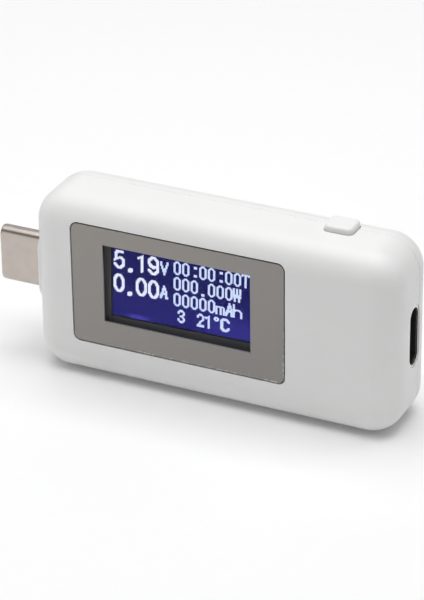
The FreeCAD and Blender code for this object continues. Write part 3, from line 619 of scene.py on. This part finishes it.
class METER_OT_display(bpy.types.Operator):
    """Build the display cell, its lit field and the readings, and finish what lies behind them"""

    bl_idname = "meter.display"
    bl_label = "Display"

    def execute(self, context):
        colours, sizes = context.scene.meter_colours, context.scene.meter_sizes
        opening_low, opening_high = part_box("lcd_front_polariser")
        inset = 1.0 * MM
        cell_edge = 0.03 * MM
        shape = bmesh.new()
        add_slab(shape, sizes, opening_low.x + inset, opening_high.x - inset,
                 opening_low.z + inset / 2, opening_high.z - inset / 2, -sizes.cell_thickness, 0.0)
        cell = add_piece("display_cell", mesh_of(shape, "display_cell", cell_edge),
                         display_border("cell_border", tuple(colours.border)), "case")
        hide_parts("lcd_front_polariser", "lcd_front_glass")
        for name, rim, lift, finish in (
                ("display_seal", sizes.field_seal, 0.4, foam("seal_line", (0.004, 0.004, 0.009))),
                ("display_field", 0.0, 0.8, lit_field("lit_field", colours, sizes))):
            shape = bmesh.new()
            add_slab(shape, sizes, CASE_MIDDLE_X + sizes.field_left - rim,
                     CASE_MIDDLE_X + sizes.field_right + rim, sizes.field_low - rim,
                     sizes.field_high + rim, -sizes.dot_height, lift * sizes.dot_height)
            add_piece(name, mesh_of(shape, name), finish, "case")
        for name, fonts, tone in (("large_digits", (LARGE,), colours.digits),
                                  ("small_letters", (SMALL, MEDIUM), colours.letters)):
            add_piece(name, dots_mesh(name, fonts, sizes), lit_dots(name, tuple(tone)), "case")
        smoked = epoxy("rear_glass", (0.05, 0.06, 0.10), 0.12, 1.5 * MM)
        finish_node("lcd_rear_glass", smoked)
        finish_node("lcd_rear_polariser", epoxy("rear_polariser", (0.03, 0.03, 0.14), 0.2, 1.0 * MM))
        finish_node("lcd_driver_chip", epoxy("driver_silicon", (0.03, 0.03, 0.035), 0.25))
        finish_node("lcd_flex", epoxy("flex_film", (0.45, 0.20, 0.03), 0.35, 0.3 * MM))
        diffuser = moulded("backlight_diffuser", (0.8, 0.82, 0.88), 0.35, 0.3 * MM)
        finish_node("backlight_panel", diffuser)
        finish_node("backlight_leds", epoxy("lamp_resin", (0.75, 0.70, 0.35), 0.3))
        finish_node("display_holder", moulded("holder_plastic", (0.74, 0.74, 0.72), 0.5))
        return {"FINISHED"}


class METER_OT_plug(bpy.types.Operator):
    """Finish the plug's shell, insulator, contacts and latches"""

    bl_idname = "meter.plug"
    bl_label = "Plug"

    def execute(self, context):
        colours = context.scene.meter_colours
        finish_node("usb_plug_shell", drawn_metal("plug_nickel", tuple(colours.nickel), 0.32))
        finish_node("usb_plug_insulator", moulded("plug_insulator", (0.02, 0.02, 0.021), 0.45))
        finish_node("usb_plug_contacts", drawn_metal("plug_gold", tuple(colours.gold), 0.22))
        finish_node("usb_plug_latches", drawn_metal("latch_steel", tuple(colours.steel), 0.28))
        return {"FINISHED"}


class METER_OT_port(bpy.types.Operator):
    """Finish the port's shell, tongue and contacts"""

    bl_idname = "meter.port"
    bl_label = "Port"

    def execute(self, context):
        colours = context.scene.meter_colours
        finish_node("usb_port_shell", port_metal("port_steel", tuple(colours.steel)))
        finish_node("usb_port_insulator", moulded("port_insulator", (0.018, 0.016, 0.015), 0.4))
        finish_node("usb_port_contacts", drawn_metal("port_gold", tuple(colours.gold), 0.22))
        return {"FINISHED"}


class METER_OT_button(bpy.types.Operator):
    """Finish the button and the switch under it"""

    bl_idname = "meter.button"
    bl_label = "Button and switch"

    def execute(self, context):
        colours = context.scene.meter_colours
        finish_node("button_cap", moulded("button_plastic", tuple(colours.case), 0.40))
        finish_node("switch_body", moulded("switch_plastic", (0.02, 0.02, 0.02), 0.5))
        finish_node("switch_plunger", moulded("plunger_plastic", (0.05, 0.05, 0.05), 0.45))
        steel = drawn_metal("switch_steel", tuple(colours.steel), 0.32)
        for node in ("switch_skin", "switch_dome", "switch_terminals"):
            finish_node(node, steel)
        return {"FINISHED"}


class METER_OT_board(bpy.types.Operator):
    """Finish the main board and the parts on its back"""

    bl_idname = "meter.board"
    bl_label = "Board"

    def execute(self, context):
        finish_node("main_board", laminate("board_laminate", tuple(context.scene.meter_colours.board)))
        chip = epoxy("chip_epoxy", (0.022, 0.022, 0.024))
        for node in ("controller_chip", "amplifier_chip", "voltage_regulator"):
            finish_node(node, chip)
        glaze = epoxy("resistor_glaze", (0.02, 0.02, 0.022), 0.25)
        for node in ("shunt_resistor", "resistors", "thermistor"):
            finish_node(node, glaze)
        finish_node("capacitors", epoxy("capacitor_ceramic", (0.40, 0.26, 0.14), 0.45))
        finish_node("bulk_capacitor", epoxy("tantalum_case", (0.55, 0.36, 0.04), 0.5))
        finish_node("crystal", drawn_metal("crystal_can", (0.62, 0.62, 0.62), 0.3))
        return {"FINISHED"}


class METER_OT_stage(bpy.types.Operator):
    """Set the camera, the pale floor and the soft lights"""

    bl_idname = "meter.stage"
    bl_label = "Stage"

    def execute(self, context):
        stage = context.scene.meter_stage
        middle = Vector((CASE_MIDDLE_X, (CAD_LOW.y + CAD_HIGH.y) / 2, CASE_MIDDLE_Z))
        self.add_camera(context, stage, middle)
        self.add_floor(context, stage)
        self.add_lights(context, stage, middle)
        return {"FINISHED"}

    def add_camera(self, context, stage, middle):
        """A long lens that looks down at the front and the port's end."""
        turn, rise, roll = stage.azimuth, stage.elevation, stage.roll
        back = Vector((math.sin(turn) * math.cos(rise), -math.cos(turn) * math.cos(rise),
                       math.sin(rise)))
        level = Vector((math.cos(turn), math.sin(turn), 0.0))
        steep = back.cross(level)
        right = math.cos(roll) * level + math.sin(roll) * steep
        upward = math.cos(roll) * steep - math.sin(roll) * level
        lens = bpy.data.cameras.new("camera")
        lens.lens = stage.focal_length
        lens.clip_start = 0.01
        camera = bpy.data.objects.new("camera", lens)
        context.scene.collection.objects.link(camera)
        camera.rotation_mode = "QUATERNION"
        turned = camera.matrix_world.to_3x3()
        for number in range(3):
            turned[number] = (right[number], upward[number], back[number])
        camera.rotation_quaternion = turned.to_quaternion()
        camera.location = middle + back * stage.distance - right * stage.aside - upward * stage.above
        context.scene.camera = camera

    def add_floor(self, context, stage):
        """A wide pale sheet that the meter stands on."""
        half_width = 1.5
        shape = bmesh.new()
        bmesh.ops.create_grid(shape, x_segments=4, y_segments=4, size=half_width)
        mesh = bpy.data.meshes.new("floor")
        shape.to_mesh(mesh)
        shape.free()
        tone = tuple(context.scene.meter_colours.floor)
        paint = Paint("pale_floor", emission=(1.0, 1.0, 1.0), emission_strength=stage.floor_glow,
                      specular=0.1)
        fibre = paint.noise(2.5 * MM, 3.0)
        paint.set(base_color=paint.mix(fibre, darker(tone, 0.985), tone),
                  roughness=0.85 + (fibre - 0.5) * 0.1)
        floor = bpy.data.objects.new("floor", mesh)
        floor.location.z = CAD_LOW.z
        mesh.materials.append(paint.material)
        context.scene.collection.objects.link(floor)

    def add_lights(self, context, stage, middle):
        """A wide strong light above, five weaker ones round it, and even surroundings."""
        for name, strength, place, width in (
                ("key", stage.key_power, Vector((0.0, 0.0, 0.50)), 0.50),
                ("port_side", stage.port_power, Vector((0.50, 0.0, 0.25)), 0.40),
                ("plug_side", stage.plug_power, Vector((-0.50, 0.0, 0.25)), 0.40),
                ("rim", stage.rim_power, Vector((0.30, 0.30, 0.35)), 0.30),
                ("front", stage.front_power, Vector((-0.24, -0.53, 0.11)), 0.34),
                ("back", stage.back_power, Vector((-0.24, 0.46, 0.30)), 0.32)):
            lamp = bpy.data.lights.new(name, "AREA")
            lamp.energy = strength
            lamp.size = width
            light = bpy.data.objects.new(name, lamp)
            light.location = middle + place
            light.rotation_mode = "QUATERNION"
            light.rotation_quaternion = place.to_track_quat("Z", "Y")
            context.scene.collection.objects.link(light)
        world = bpy.data.worlds.new("surroundings")
        world.use_nodes = True
        backdrop = world.node_tree.nodes["Background"]
        backdrop.inputs["Color"].default_value = (1.0, 1.0, 1.0, 1.0)
        backdrop.inputs["Strength"].default_value = stage.sky
        context.scene.world = world
        context.scene.view_settings.view_transform = "Standard"


class METER_PT_panel(bpy.types.Panel):
    """Lists the steps and their settings"""

    bl_idname = "METER_PT_panel"
    bl_label = "USB power meter"
    bl_space_type = "VIEW_3D"
    bl_region_type = "UI"
    bl_category = "Meter"

    def draw(self, context):
        for step in STEPS:
            self.layout.operator(step.bl_idname, text=step.bl_label)
        for group in (context.scene.meter_sizes, context.scene.meter_colours,
                      context.scene.meter_stage):
            column = self.layout.column(align=True)
            for name in group.__annotations__:
                column.prop(group, name)


GROUPS = {"meter_sizes": MeterSizes, "meter_colours": MeterColours, "meter_stage": MeterStage}
STEPS = (METER_OT_stage, METER_OT_case, METER_OT_panel, METER_OT_display, METER_OT_plug,
         METER_OT_port, METER_OT_button, METER_OT_board)


def register():
    for made in (*GROUPS.values(), *STEPS, METER_PT_panel):
        bpy.utils.register_class(made)
    for name, group in GROUPS.items():
        setattr(bpy.types.Scene, name, bpy.props.PointerProperty(type=group))


def unregister():
    for name in GROUPS:
        delattr(bpy.types.Scene, name)
    for made in (METER_PT_panel, *reversed(STEPS), *reversed(GROUPS.values())):
        bpy.utils.unregister_class(made)


def main():
    register()
    bpy.ops.meter.stage()
    bpy.ops.meter.case()
    bpy.ops.meter.panel()
    bpy.ops.meter.display()
    bpy.ops.meter.plug()
    bpy.ops.meter.port()
    bpy.ops.meter.button()
    bpy.ops.meter.board()


if __name__ == "__main__":
    main()
